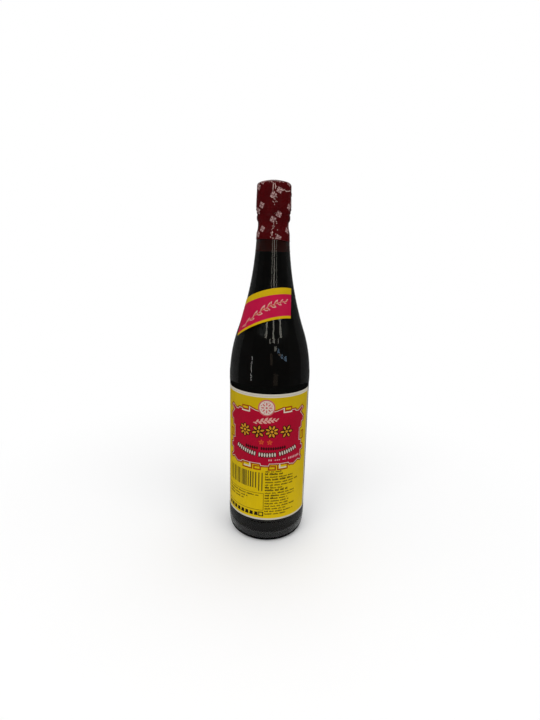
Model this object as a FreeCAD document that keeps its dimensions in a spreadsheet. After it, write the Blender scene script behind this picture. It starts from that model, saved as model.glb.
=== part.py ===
import FreeCAD, Part
import math
import os

import Sketcher

# A full, sealed 640 ml bottle of black rice vinegar. The clear glass is a revolved blank with
# its cavity cut out, and the vinegar is the lower part of the same cavity. The capsule (closure
# and shrunk film, which can't be told apart from outside), the neck label and the body label are
# blanks a film's or a paper's thickness larger than the glass, with the glass blank cut away, so
# each seats face to face on it.
#
# Frame: the origin is the centre of the base on the surface it stands on, +Z runs up the
# bottle's axis, and the labels face -Y. Millimetres and degrees. An azimuth is measured about
# +Z from -Y, positive towards +X.

SIZES = {
    # Outside of the glass, from the base up.
    "body_radius": 35.4,
    "punt_height": 5.0,
    "bearing_width": 2.4,
    "heel_corner": 4.5,
    "heel_sweep": 46.0,
    "heel_height": 14.5,
    "shoulder_sweep": 123.5,
    "neck_height": 279.0,
    "neck_radius": 13.3,
    # The finish, measured up or down from the top of the neck's curve and out from its wall.
    "lip_rise": 25.0,
    "lip_round": 1.5,
    "bead_proud": 0.3,
    "bead_round": 5.0,
    "waist_drop": 5.2,
    "waist_depth": 0.9,
    "waist_sweep": 19.0,
    # Cavity of the glass, and the air above the vinegar, down from the lip.
    "wall": 2.8,
    "neck_wall": 3.6,
    "base_thickness": 4.5,
    "floor_dome": 90.0,
    "inner_heel": 8.0,
    "air": 52.7,
    # Capsule: the film and its lower edge, down from the top of the neck's curve, and the
    # closure under it, up from there. Its foot and side are measured out from the neck.
    "film": 0.25,
    "film_drop": 16.8,
    "closure_rise": 3.2,
    "closure_foot": 0.3,
    "closure_belly": 8.6,
    "closure_bulge": 18.0,
    "closure_shoulder": 24.0,
    "closure_side": 0.65,
    "closure_corner": 3.2,
    "closure_dome": 36.0,
    # Body label, the recessed panel that keeps it from being rubbed, and the band between
    # the panel and the shoulder where bottles touch each other.
    "paper": 0.12,
    "label_bottom": 24.0,
    "label_height": 115.7,
    "label_wrap": 154.0,
    "label_azimuth": -2.8,
    "panel_margin": 2.5,
    "panel_recess": 0.2,
    "panel_ramp": 1.5,
    "upper_band": 5.2,
    # Neck label: a band between two slanted planes that are highest at sash_azimuth. Each
    # plane has its height on the axis and its slope. The right end is cut at one distance
    # to the right of the axis. The left end runs between two distances from the axis,
    # towards sash_azimuth, so both are negative.
    "sash_centre": -20.0,
    "sash_azimuth": 27.0,
    "sash_top": 214.9,
    "sash_top_slope": 28.3,
    "sash_bottom": 183.7,
    "sash_bottom_slope": 34.8,
    "sash_right_end": 16.05,
    "sash_left_foot": -2.6,
    "sash_left_head": -12.0,
}

OVER = 4.0  # how far a blank or a cutting tool reaches past the surface that it meets
Z_AXIS = FreeCAD.Vector(0, 0, 1)

# The height where the shoulder starts, the rise and drop of the curve from there to the neck,
# and the radius of the neck's arc, which meets the shoulder's arc tangentially.
SHOULDER = "($label_bottom + $label_height + $panel_margin + $upper_band)"
RISE = f"($neck_height - {SHOULDER})"
DROP = "($body_radius - $neck_radius)"
NECK_SWEEP = f"(({RISE}^2 + {DROP}^2) / (2 * {DROP}) - $shoulder_sweep)"


def make_sheet(doc):
    """Puts every driving size in a cell of its own, with its name as the alias."""
    sheet = doc.addObject("Spreadsheet::Sheet", "sizes")
    for row, (name, value) in enumerate(SIZES.items(), start=1):
        sheet.set(f"A{row}", name)
        sheet.set(f"B{row}", str(value))
        sheet.setAlias(f"B{row}", name)
    doc.recompute()
    return sheet


def tie(thing, prop, expression):
    """Binds a property to cells of the sheet; $ stands before each size's name."""
    thing.setExpression(prop, expression.replace("$", "sizes."))


class Outline:
    """A closed outline in a sketch, drawn edge after edge and then tied to the sheet."""

    def __init__(self, sketch):
        self.sketch = sketch
        self.edges = []  # (geometry, point it starts at, point it ends at) of each edge

    def line(self, start, end):
        """Adds a straight edge and returns its place in the outline."""
        segment = Part.LineSegment(FreeCAD.Vector(*start, 0), FreeCAD.Vector(*end, 0))
        self.edges.append((self.sketch.addGeometry(segment, False), 1, 2))
        return len(self.edges) - 1

    def arc(self, centre, radius, start, end):
        """Adds an arc from one angle to another, clockwise where the second is smaller."""
        circle = Part.Circle(FreeCAD.Vector(*centre, 0), Z_AXIS, radius)
        low, high = math.radians(min(start, end)), math.radians(max(start, end))
        geometry = self.sketch.addGeometry(Part.ArcOfCircle(circle, low, high), False)
        self.edges.append((geometry, 1, 2) if end > start else (geometry, 2, 1))
        return len(self.edges) - 1

    def close(self, smooth=()):
        """Joins every edge to the next one, tangent after each edge named in smooth."""
        for place, (edge, _, last) in enumerate(self.edges):
            following, first, _ = self.edges[(place + 1) % len(self.edges)]
            kind = "Tangent" if place in smooth else "Coincident"
            self.sketch.addConstraint(Sketcher.Constraint(kind, edge, last, following, first))

    def point(self, place, where):
        """The geometry and point number of an edge's start, end or centre."""
        edge, first, last = self.edges[place]
        return edge, {"start": first, "end": last, "centre": 3}[where]

    def bind(self, kind, references, value, expression):
        """Adds a dimension that follows the sheet."""
        index = self.sketch.addConstraint(Sketcher.Constraint(kind, *references, value))
        tie(self.sketch, f"Constraints[{index}]", expression)

    def across(self, place, where, expression):
        """Sets a point's distance from the axis."""
        edge, number = self.point(place, where)
        value = self.sketch.getPoint(edge, number).x
        self.bind("DistanceX", (-1, 1, edge, number), value, expression)

    def up(self, place, where, expression):
        """Sets a point's height."""
        edge, number = self.point(place, where)
        value = self.sketch.getPoint(edge, number).y
        self.bind("DistanceY", (-1, 1, edge, number), value, expression)

    def round(self, place, expression):
        """Sets an arc's radius."""
        edge = self.edges[place][0]
        self.bind("Radius", (edge,), self.sketch.Geometry[edge].Radius, expression)

    def on_axis(self, place, where):
        self.sketch.addConstraint(
            Sketcher.Constraint("PointOnObject", *self.point(place, where), -2)
        )

    def on_ground(self, place, where):
        self.sketch.addConstraint(
            Sketcher.Constraint("PointOnObject", *self.point(place, where), -1)
        )

    def level(self, *places):
        for place in places:
            self.sketch.addConstraint(Sketcher.Constraint("Horizontal", self.edges[place][0]))

    def upright(self, *places):
        for place in places:
            self.sketch.addConstraint(Sketcher.Constraint("Vertical", self.edges[place][0]))


def make_body(doc, name):
    body = doc.addObject("PartDesign::Body", name)
    body.Label = name
    return body


def axial_sketch(body, name, turn=None):
    """A sketch on a plane through the axis: its x is the radius and its y the height.

    turn is an expression for how far the plane is turned from +X about the axis."""
    sketch = body.newObject("Sketcher::SketchObject", name)
    plane = next(f for f in body.Origin.OriginFeatures if f.Role == "XZ_Plane")
    sketch.AttachmentSupport = [(plane, "")]
    sketch.MapMode = "FlatFace"
    if turn:
        # The plane's own y is the bottle's axis.
        sketch.AttachmentOffset = FreeCAD.Placement(
            FreeCAD.Vector(), FreeCAD.Rotation(FreeCAD.Vector(0, 1, 0), 1)
        )
        tie(sketch, ".AttachmentOffset.Rotation.Angle", turn)
    return sketch


def revolve(body, kind, sketch, angle=None):
    """Adds a Revolution or a Groove about the axis, whole or centred on its sketch."""
    feature = body.newObject(f"PartDesign::{kind}", sketch.Name + kind)
    feature.Profile = sketch
    feature.ReferenceAxis = (sketch, ["V_Axis"])
    feature.Angle = 360.0
    if angle:
        feature.Midplane = True
        tie(feature, "Angle", angle)
    return feature


def shoulder_height(size):
    """Where the shoulder starts; SHOULDER says the same to the sketches."""
    return sum(size[n] for n in ("label_bottom", "label_height", "panel_margin", "upper_band"))


def neck_sweep(size):
    """The radius of the neck's arc; NECK_SWEEP says the same to the sketches."""
    rise = size["neck_height"] - shoulder_height(size)
    drop = size["body_radius"] - size["neck_radius"]
    return (rise**2 + drop**2) / (2 * drop) - size["shoulder_sweep"]


def draw_s_curve(outline, size, body_radius, neck_radius, shoulder_sweep):
    """Draws the shoulder's and the neck's arc between two upright walls."""
    low, high = shoulder_height(size), size["neck_height"]
    drop = body_radius - neck_radius
    turn = 2 * math.degrees(math.atan2(drop, high - low))
    sweep = ((high - low) ** 2 + drop**2) / (2 * drop) - shoulder_sweep
    shoulder = outline.arc((body_radius - shoulder_sweep, low), shoulder_sweep, 0, turn)
    throat = outline.arc((neck_radius + sweep, high), sweep, 180 + turn, 180)
    return shoulder, throat


def draw_glass(sketch, size):
    """The outside of the plain blank, whose lines run anticlockwise from the punt's top."""
    outline = Outline(sketch)
    corner, sweep = size["heel_corner"], size["heel_sweep"]
    body, neck = size["body_radius"], size["neck_radius"]
    reach = sweep - corner
    fall = size["heel_height"] - corner
    bearing = body - sweep + math.sqrt(reach**2 - fall**2)
    heel_turn = -math.degrees(math.asin(fall / reach))
    inner = bearing - size["bearing_width"]
    rise = size["punt_height"]
    dome = (inner**2 + rise**2) / (2 * rise)
    dome_end = math.degrees(math.atan2(dome - rise, inner))
    lip, lip_round = size["neck_height"] + size["lip_rise"], size["lip_round"]

    punt = outline.arc((0, rise - dome), dome, 90, dome_end)
    ring = outline.line((inner, 0), (bearing, 0))
    heel = outline.arc((bearing, corner), corner, -90, heel_turn)
    flank = outline.arc((body - sweep, size["heel_height"]), sweep, heel_turn, 0)
    wall = outline.line((body, size["heel_height"]), (body, shoulder_height(size)))
    shoulder, throat = draw_s_curve(outline, size, body, neck, size["shoulder_sweep"])
    finish = outline.line((neck, size["neck_height"]), (neck, lip - lip_round))
    edge = outline.arc((neck - lip_round, lip - lip_round), lip_round, 0, 90)
    top = outline.line((neck - lip_round, lip), (0, lip))
    outline.line((0, lip), (0, rise))

    outline.close(smooth=(ring, heel, flank, wall, shoulder, throat, finish, edge))
    outline.on_axis(punt, "start")
    outline.on_axis(punt, "centre")
    outline.up(punt, "start", "$punt_height")
    outline.on_ground(ring, "start")
    outline.level(ring, top)
    outline.bind(
        "DistanceX",
        (*outline.point(ring, "start"), *outline.point(ring, "end")),
        size["bearing_width"],
        "$bearing_width",
    )
    outline.round(heel, "$heel_corner")
    outline.round(flank, "$heel_sweep")
    outline.up(flank, "end", "$heel_height")
    outline.upright(wall, finish)
    outline.across(wall, "start", "$body_radius")
    outline.up(shoulder, "start", SHOULDER)
    outline.round(shoulder, "$shoulder_sweep")
    outline.up(throat, "end", "$neck_height")
    outline.across(finish, "start", "$neck_radius")
    outline.round(edge, "$lip_round")
    outline.up(top, "start", "$neck_height + $lip_rise")
    outline.on_axis(top, "end")


def draw_cavity(sketch, size):
    """The inside of the glass, from the domed floor to the mouth."""
    outline = Outline(sketch)
    body = size["body_radius"] - size["wall"]
    bore = size["neck_radius"] - size["neck_wall"]
    floor = size["punt_height"] + size["base_thickness"]
    heel, dome = size["inner_heel"], size["floor_dome"]
    heel_across = body - heel
    rise = math.sqrt((dome + heel) ** 2 - heel_across**2)
    heel_up = floor - dome + rise
    meet = math.degrees(math.atan2(rise, heel_across))
    lip = size["neck_height"] + size["lip_rise"]

    bottom = outline.arc((0, floor - dome), dome, 90, meet)
    corner = outline.arc((heel_across, heel_up), heel, 180 + meet, 360)
    wall = outline.line((body, heel_up), (body, shoulder_height(size)))
    sweep = size["shoulder_sweep"] - size["wall"]
    shoulder, throat = draw_s_curve(outline, size, body, bore, sweep)
    finish = outline.line((bore, size["neck_height"]), (bore, lip))
    mouth = outline.line((bore, lip), (0, lip))
    outline.line((0, lip), (0, floor))

    outline.close(smooth=(bottom, corner, wall, shoulder, throat))
    outline.on_axis(bottom, "start")
    outline.on_axis(bottom, "centre")
    outline.up(bottom, "start", "$punt_height + $base_thickness")
    outline.round(bottom, "$floor_dome")
    outline.round(corner, "$inner_heel")
    outline.upright(wall, finish)
    outline.across(wall, "start", "$body_radius - $wall")
    outline.up(shoulder, "start", SHOULDER)
    outline.round(shoulder, "$shoulder_sweep - $wall")
    outline.up(throat, "end", "$neck_height")
    outline.across(finish, "start", "$neck_radius - $neck_wall")
    outline.up(mouth, "start", "$neck_height + $lip_rise")
    outline.level(mouth)
    outline.on_axis(mouth, "end")


def draw_circle(sketch, centre, radius, expressions):
    """Draws a circle, and ties its centre across, its centre up and its radius in that order."""
    circle = sketch.addGeometry(Part.Circle(FreeCAD.Vector(*centre, 0), Z_AXIS, radius), False)
    dimensions = (
        ("DistanceX", (-1, 1, circle, 3), centre[0]),
        ("DistanceY", (-1, 1, circle, 3), centre[1]),
        ("Radius", (circle,), radius),
    )
    for (kind, references, value), expression in zip(dimensions, expressions):
        index = sketch.addConstraint(Sketcher.Constraint(kind, *references, value))
        tie(sketch, f"Constraints[{index}]", expression)


def add_waist_and_bead(body, size, film=0.0):
    """Cuts the waist under the bead and adds the bead, on the glass or on the film over it."""
    neck, height = size["neck_radius"], size["neck_height"]
    waist_sweep, bead_round = size["waist_sweep"], size["bead_round"]
    over_film = "$film" if film else "0"
    waist = axial_sketch(body, "Waist")
    draw_circle(
        waist,
        (neck - size["waist_depth"] + waist_sweep, height - size["waist_drop"]),
        waist_sweep - film,
        (
            "$neck_radius - $waist_depth + $waist_sweep",
            "$neck_height - $waist_drop",
            f"$waist_sweep - {over_film}",
        ),
    )
    revolve(body, "Groove", waist)
    bead = axial_sketch(body, "Bead")
    draw_circle(
        bead,
        (neck + size["bead_proud"] - bead_round, height),
        bead_round + film,
        ("$neck_radius + $bead_proud - $bead_round", "$neck_height", f"$bead_round + {over_film}"),
    )
    revolve(body, "Revolution", bead)


def draw_panel(sketch, size):
    """The ring that the label panel's groove removes, with a ramp at each end."""
    outline = Outline(sketch)
    inner = size["body_radius"] - size["panel_recess"]
    outer = size["body_radius"] + OVER
    low = size["label_bottom"] - size["panel_margin"]
    high = size["label_bottom"] + size["label_height"] + size["panel_margin"]
    reach = size["panel_ramp"] / size["panel_recess"] * (outer - inner)

    wall = outline.line((inner, high), (inner, low))
    outline.line((inner, low), (outer, low - reach))
    back = outline.line((outer, low - reach), (outer, high + reach))
    outline.line((outer, high + reach), (inner, high))

    ramp = f"$panel_ramp / $panel_recess * ($panel_recess + {OVER})"
    high_edge = "$label_bottom + $label_height + $panel_margin"
    outline.close()
    outline.upright(wall, back)
    outline.across(wall, "start", "$body_radius - $panel_recess")
    outline.across(back, "start", f"$body_radius + {OVER}")
    outline.up(wall, "start", high_edge)
    outline.up(wall, "end", "$label_bottom - $panel_margin")
    outline.up(back, "start", f"$label_bottom - $panel_margin - {ramp}")
    outline.up(back, "end", f"{high_edge} + {ramp}")


def make_glass_blank(doc, size):
    """The bottle's outside, filled solid: every piece on the glass is cut with it."""
    body = make_body(doc, "GlassBlank")
    outside = axial_sketch(body, "Outside")
    draw_glass(outside, size)
    revolve(body, "Revolution", outside)
    add_waist_and_bead(body, size)
    panel = axial_sketch(body, "Panel")
    draw_panel(panel, size)
    revolve(body, "Groove", panel)
    return body


def make_cavity(doc, size):
    """The space inside the glass, as a solid."""
    body = make_body(doc, "Cavity")
    inside = axial_sketch(body, "Inside")
    draw_cavity(inside, size)
    revolve(body, "Revolution", inside)
    return body


def cut(doc, name, base, tool):
    result = doc.addObject("Part::Cut", name)
    result.Label = name
    result.Base = base
    result.Tool = tool
    return result


def make_vinegar(doc, cavity):
    """The drink: the cavity up to the level of the fill."""
    level = doc.addObject("Part::Cylinder", "BelowFill")
    tie(level, "Radius", f"$body_radius + {OVER}")
    tie(level, "Height", "$neck_height + $lip_rise - $air")
    vinegar = doc.addObject("Part::Common", "vinegar")
    vinegar.Label = "vinegar"
    vinegar.Base = cavity
    vinegar.Tool = level
    return vinegar


def draw_sleeve(sketch, size):
    """The film's outside, from its lower edge up into the closure."""
    outline = Outline(sketch)
    film, height = size["film"], size["neck_height"]
    neck = size["neck_radius"] + film
    sweep = neck_sweep(size) - film
    low = height - size["film_drop"]
    high = height + size["closure_rise"] + OVER
    turn = math.degrees(math.asin(size["film_drop"] / sweep))
    foot = neck + sweep * (1 - math.cos(math.radians(turn)))

    bottom = outline.line((0, low), (foot, low))
    throat = outline.arc((neck + sweep, height), sweep, 180 + turn, 180)
    wall = outline.line((neck, height), (neck, high))
    top = outline.line((neck, high), (0, high))
    outline.line((0, high), (0, low))

    outline.close(smooth=(throat,))
    outline.level(bottom, top)
    outline.upright(wall)
    outline.on_axis(bottom, "start")
    outline.on_axis(top, "end")
    outline.up(bottom, "start", "$neck_height - $film_drop")
    outline.up(throat, "end", "$neck_height")
    outline.round(throat, f"{NECK_SWEEP} - $film")
    outline.across(wall, "start", "$neck_radius + $film")
    outline.up(wall, "end", f"$neck_height + $closure_rise + {OVER}")


def draw_closure(sketch, size):
    """The closure under the film: a bulged skirt, a tapered side and a domed top."""
    outline = Outline(sketch)
    base = size["neck_height"]
    foot = size["neck_radius"] + size["closure_foot"]
    low = base + size["closure_rise"]
    belly, bulge = base + size["closure_belly"], size["closure_bulge"]
    side = size["neck_radius"] + size["closure_side"]
    high = base + size["closure_shoulder"]
    corner, dome = size["closure_corner"], size["closure_dome"]
    # The side is the tangent from the shoulder's point to the bulge's circle.
    centre = foot - math.sqrt(bulge**2 - (belly - low) ** 2)
    distance = math.hypot(side - centre, high - belly)
    tangent = math.atan2(high - belly, side - centre) - math.acos(bulge / distance)
    touch = (centre + bulge * math.cos(tangent), belly + bulge * math.sin(tangent))
    corner_across = side - corner * math.cos(tangent)
    corner_up = high - corner * math.sin(tangent)
    rise = math.sqrt((dome - corner) ** 2 - corner_across**2)
    meet = math.degrees(math.atan2(rise, corner_across))
    apex = corner_up - rise + dome
    start = -math.degrees(math.asin((belly - low) / bulge))
    end = math.degrees(tangent)

    bottom = outline.line((0, low), (foot, low))
    skirt = outline.arc((centre, belly), bulge, start, end)
    taper = outline.line(touch, (side, high))
    edge = outline.arc((corner_across, corner_up), corner, end, meet)
    crown = outline.arc((0, apex - dome), dome, meet, 90)
    outline.line((0, apex), (0, low))

    outline.close(smooth=(skirt, taper, edge))
    outline.level(bottom)
    outline.on_axis(bottom, "start")
    outline.on_axis(crown, "centre")
    outline.on_axis(crown, "end")
    outline.up(bottom, "start", "$neck_height + $closure_rise")
    outline.across(bottom, "end", "$neck_radius + $closure_foot")
    outline.up(skirt, "centre", "$neck_height + $closure_belly")
    outline.round(skirt, "$closure_bulge")
    outline.across(taper, "end", "$neck_radius + $closure_side")
    outline.up(taper, "end", "$neck_height + $closure_shoulder")
    outline.round(edge, "$closure_corner")
    outline.round(crown, "$closure_dome")


def make_capsule(doc, size, glass):
    """The shrunk film and the closure that it wraps, seated on the glass and its lip."""
    body = make_body(doc, "CapsuleBlank")
    sleeve = axial_sketch(body, "Sleeve")
    draw_sleeve(sleeve, size)
    revolve(body, "Revolution", sleeve)
    add_waist_and_bead(body, size, size["film"])
    closure = axial_sketch(body, "Closure")
    draw_closure(closure, size)
    revolve(body, "Revolution", closure)
    return cut(doc, "capsule", body, glass)


def make_body_label(doc, size, glass):
    """The paper around the front of the panel."""
    body = make_body(doc, "LabelBlank")
    sketch = axial_sketch(body, "LabelSection", "$label_azimuth - 90")
    outline = Outline(sketch)
    inner = size["body_radius"] - OVER
    outer = size["body_radius"] - size["panel_recess"] + size["paper"]
    low = size["label_bottom"]
    high = low + size["label_height"]

    bottom = outline.line((inner, low), (outer, low))
    front = outline.line((outer, low), (outer, high))
    top = outline.line((outer, high), (inner, high))
    back = outline.line((inner, high), (inner, low))

    outline.close()
    outline.level(bottom, top)
    outline.upright(front, back)
    outline.across(bottom, "start", f"$body_radius - {OVER}")
    outline.across(bottom, "end", "$body_radius - $panel_recess + $paper")
    outline.up(bottom, "start", "$label_bottom")
    outline.up(top, "start", "$label_bottom + $label_height")
    revolve(body, "Revolution", sketch, "$label_wrap")
    return cut(doc, "body_label", body, glass)


def draw_sash_section(sketch, size):
    """A paper's thickness more than the shoulder and neck, past the sash both ways."""
    outline = Outline(sketch)
    paper = size["paper"]
    shoulder, neck = size["shoulder_sweep"] + paper, neck_sweep(size) - paper
    shoulder_across = size["body_radius"] - size["shoulder_sweep"]
    neck_across = size["neck_radius"] + neck_sweep(size)
    low = size["sash_bottom"] - size["body_radius"] / 2
    high = size["sash_top"] + size["body_radius"] / 2
    rise = size["neck_height"] - shoulder_height(size)
    turn = 2 * math.degrees(math.atan2(size["body_radius"] - size["neck_radius"], rise))
    first = math.degrees(math.asin((low - shoulder_height(size)) / shoulder))
    last = math.degrees(math.asin((size["neck_height"] - high) / neck))
    start = shoulder_across + shoulder * math.cos(math.radians(first))
    end = neck_across - neck * math.cos(math.radians(last))

    bottom = outline.line((0, low), (start, low))
    lower = outline.arc((shoulder_across, shoulder_height(size)), shoulder, first, turn)
    upper = outline.arc((neck_across, size["neck_height"]), neck, 180 + turn, 180 + last)
    top = outline.line((end, high), (0, high))
    outline.line((0, high), (0, low))

    outline.close(smooth=(lower,))
    outline.level(bottom, top)
    outline.on_axis(bottom, "start")
    outline.on_axis(top, "end")
    outline.up(bottom, "start", "$sash_bottom - $body_radius / 2")
    outline.up(top, "start", "$sash_top + $body_radius / 2")
    outline.across(lower, "centre", "$body_radius - $shoulder_sweep")
    outline.up(lower, "centre", SHOULDER)
    outline.round(lower, "$shoulder_sweep + $paper")
    outline.across(upper, "centre", f"$neck_radius + {NECK_SWEEP}")
    outline.up(upper, "centre", "$neck_height")


def draw_sash_side(sketch, size):
    """The sash seen square to its slope: two slanted edges and the slanted left end."""
    outline = Outline(sketch)
    edges = {}
    for name in ("bottom", "top"):
        slope = math.tan(math.radians(size[f"sash_{name}_slope"]))
        edges[name] = (size[f"sash_{name}"], slope)
    reach = size["body_radius"] + OVER
    corners = (
        ("bottom", size["sash_left_foot"], "$sash_left_foot"),
        ("bottom", reach, f"($body_radius + {OVER})"),
        ("top", reach, f"($body_radius + {OVER})"),
        ("top", size["sash_left_head"], "$sash_left_head"),
    )
    points = [(across, edges[name][0] + across * edges[name][1]) for name, across, _ in corners]
    for place, point in enumerate(points):
        outline.line(point, points[(place + 1) % len(points)])
    outline.close()
    for place, (name, _, across) in enumerate(corners):
        outline.across(place, "start", across)
        height = f"$sash_{name} + {across} * tan($sash_{name}_slope * 1 deg)"
        outline.up(place, "start", height)


def make_neck_label(doc, size, glass):
    """The slanted paper band around the front of the neck."""
    blank = make_body(doc, "SashBlank")
    section = axial_sketch(blank, "SashSection", "$sash_centre - 90")
    draw_sash_section(section, size)
    revolve(blank, "Revolution", section).Angle = 180.0
    blank.Tip.Midplane = True

    slab = make_body(doc, "SashSlab")
    side = axial_sketch(slab, "SashSide", "$sash_azimuth - 90")
    draw_sash_side(side, size)
    pad = slab.newObject("PartDesign::Pad", "SashPad")
    pad.Profile = side
    pad.Midplane = True
    tie(pad, "Length", f"2 * ($body_radius + {OVER})")

    end = doc.addObject("Part::Box", "SashEnd")
    tie(end, "Length", f"$sash_right_end + $body_radius + {OVER}")
    tie(end, "Width", f"2 * ($body_radius + {OVER})")
    tie(end, "Height", "$neck_height")
    tie(end, ".Placement.Base.x", f"-($body_radius + {OVER})")
    tie(end, ".Placement.Base.y", f"-($body_radius + {OVER})")

    label = doc.addObject("Part::MultiCommon", "neck_label")
    label.Label = "neck_label"
    label.Shapes = [cut(doc, "SashSkin", blank, glass), slab, end]
    return label


def build_document():
    doc = FreeCAD.newDocument("vinegar_bottle")
    sheet = make_sheet(doc)
    size = {name: float(sheet.get(name)) for name in SIZES}
    glass, cavity = make_glass_blank(doc, size), make_cavity(doc, size)
    parts = [
        cut(doc, "bottle_glass", glass, cavity),
        make_vinegar(doc, cavity),
        make_capsule(doc, size, glass),
        make_neck_label(doc, size, glass),
        make_body_label(doc, size, glass),
    ]
    doc.recompute()
    return doc, parts


def check(doc, parts):
    """Stops the build if an object failed or a part isn't one valid solid."""
    for thing in doc.Objects:
        if {"Invalid", "Error"} & set(thing.State):
            raise RuntimeError(f"{thing.Name} failed: {thing.State}")
    for part in parts:
        shape = part.Shape
        if shape.isNull() or not shape.isValid() or len(shape.Solids) != 1:
            raise RuntimeError(f"{part.Label} isn't one valid solid")


def export(parts):
    os.makedirs("parts", exist_ok=True)
    for part in parts:
        part.Shape.exportStep(os.path.join("parts", f"{part.Label}.step"))
        box = part.Shape.BoundBox
        print(f"{part.Label}: {part.Shape.Volume / 1000:.1f} ml, top at {box.ZMax:.1f} mm")


document, bottle_parts = build_document()
check(document, bottle_parts)
export(bottle_parts)
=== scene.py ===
import math
import random

import bmesh
import bpy
from mathutils import Matrix, Vector, noise


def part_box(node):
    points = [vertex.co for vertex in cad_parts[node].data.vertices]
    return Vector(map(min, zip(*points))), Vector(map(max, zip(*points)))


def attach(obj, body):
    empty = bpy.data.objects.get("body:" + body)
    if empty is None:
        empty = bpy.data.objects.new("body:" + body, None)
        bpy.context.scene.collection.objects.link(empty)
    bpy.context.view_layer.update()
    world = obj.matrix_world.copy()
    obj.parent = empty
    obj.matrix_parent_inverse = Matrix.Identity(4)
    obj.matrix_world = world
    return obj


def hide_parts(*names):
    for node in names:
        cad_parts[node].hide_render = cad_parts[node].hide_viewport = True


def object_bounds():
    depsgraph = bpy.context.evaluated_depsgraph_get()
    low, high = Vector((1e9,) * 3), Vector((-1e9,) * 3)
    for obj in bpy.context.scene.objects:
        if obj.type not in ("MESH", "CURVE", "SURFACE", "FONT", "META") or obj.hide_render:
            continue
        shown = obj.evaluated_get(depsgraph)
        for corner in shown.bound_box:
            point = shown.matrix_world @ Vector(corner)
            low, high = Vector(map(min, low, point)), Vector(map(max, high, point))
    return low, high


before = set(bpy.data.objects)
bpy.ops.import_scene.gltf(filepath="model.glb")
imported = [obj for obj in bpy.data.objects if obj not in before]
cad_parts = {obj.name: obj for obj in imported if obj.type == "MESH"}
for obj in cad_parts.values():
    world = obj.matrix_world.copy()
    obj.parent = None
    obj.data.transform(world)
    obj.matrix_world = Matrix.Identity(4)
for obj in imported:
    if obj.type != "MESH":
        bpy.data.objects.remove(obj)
cad_low, cad_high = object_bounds()

bl_info = {
    "name": "Rice vinegar bottle",
    "version": (1, 0, 0),
    "blender": (4, 5, 0),
    "location": "View3D > Sidebar > Bottle",
    "description": "Gives a sealed glass bottle of dark rice vinegar its looks, around its packed frame",
    "category": "Object",
}

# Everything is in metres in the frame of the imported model: the origin is the centre of the base,
# +Z runs up the bottle's axis and the labels face -Y. An azimuth is in radians about +Z from -Y,
# positive towards +X. Flat print alone is drawn in millimetres.

MM = 0.001
GLASS_LOW, GLASS_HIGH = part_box("bottle_glass")
LABEL_LOW, LABEL_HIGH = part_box("body_label")
FILM_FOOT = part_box("capsule")[0].z
FILL_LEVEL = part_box("vinegar")[1].z

# Outside of the glass.
BODY = (GLASS_HIGH.y - GLASS_LOW.y) / 2
LIP = GLASS_HIGH.z
LIP_CORNER = 1.5 * MM
NECK = 13.3 * MM
NECK_TOP = LIP - 25 * MM  # the top of the neck's curve
PAPER = 0.12 * MM
PANEL_RECESS = 0.2 * MM
PANEL_MARGIN = 2.5 * MM
PANEL_RAMP = 1.5 * MM
PANEL = BODY - PANEL_RECESS
SHOULDER = LABEL_HIGH.z + PANEL_MARGIN + 5.2 * MM
SHOULDER_SWEEP = 123.5 * MM
RISE = NECK_TOP - SHOULDER
DROP = BODY - NECK
NECK_SWEEP = (RISE**2 + DROP**2) / (2 * DROP) - SHOULDER_SWEEP
TURN = 2 * math.atan2(DROP, RISE)  # how far the shoulder leans in where it meets the neck
WAIST_SWEEP, WAIST_DROP, WAIST_DEPTH = 19 * MM, 5.2 * MM, 0.9 * MM
BEAD_SWEEP, BEAD_OUT = 5 * MM, 0.3 * MM

# Inside of the glass.
WALL = 2.8 * MM
NECK_WALL = 3.6 * MM
CAVITY_FLOOR = 9.5 * MM  # in the middle

# Film and closure of the capsule.
FILM = 0.25 * MM
CLOSURE_FOOT = NECK_TOP + 3.2 * MM
CLOSURE_BELLY, BELLY_SWEEP = NECK_TOP + 8.6 * MM, 18 * MM
CLOSURE_SHOULDER = NECK_TOP + 23.9 * MM
CLOSURE_SIDE = NECK + 0.65 * MM
CROWN_CORNER, CROWN_DOME = 3.2 * MM, 36 * MM

# The body label's own flat frame: X along the paper from the middle of its design, Z up.
LABEL_AZIMUTH = math.radians(-2.8)
LABEL_HALF = math.radians(77.0)
LABEL_STEPS = {0: 1.5 * MM}  # how finely each axis is cut so that print can bend
INK = 0.012 * MM  # how far one printed layer stands above the one under it

# The sash's flat frame: X along it, as the azimuth times SASH_RADIUS, and Z up from its lower edge.
SASH_RADIUS = 22 * MM
SASH_AZIMUTH = math.radians(27.0)
SASH_TOP, SASH_TOP_SLOPE = 216.3 * MM, math.tan(math.radians(23.9))
SASH_BOTTOM, SASH_BOTTOM_SLOPE = 185.0 * MM, math.tan(math.radians(31.9))
SASH_RIGHT_END = 16.05 * MM
SASH_LEFT_FOOT, SASH_LEFT_HEAD = -2.6 * MM, -12.0 * MM
SASH_STEPS = {0: 1.5 * MM, 2: 2.0 * MM}

PIECES = bpy.context.scene.collection


def paint(red, green, blue):
    """Linear colour of a printed shade given as it looks on a screen, 0 to 255."""
    shares = (shade / 255 for shade in (red, green, blue))
    return tuple(((s + 0.055) / 1.055) ** 2.4 if s > 10 / 255 else s / 12.92 for s in shares)


def tone(colour, share):
    """A colour made darker or lighter."""
    return tuple(min(c * share, 1) for c in colour)


def round_axis(azimuth, radius, height):
    """The point at an azimuth, a radius and a height."""
    return Vector((radius * math.sin(azimuth), -radius * math.cos(azimuth), height))


def points_of(parts):
    """The vertices among what a mesh operation gives back."""
    return [part for part in parts if isinstance(part, bmesh.types.BMVert)]


# Shapes of the glass and the film: radius at a height


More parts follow.
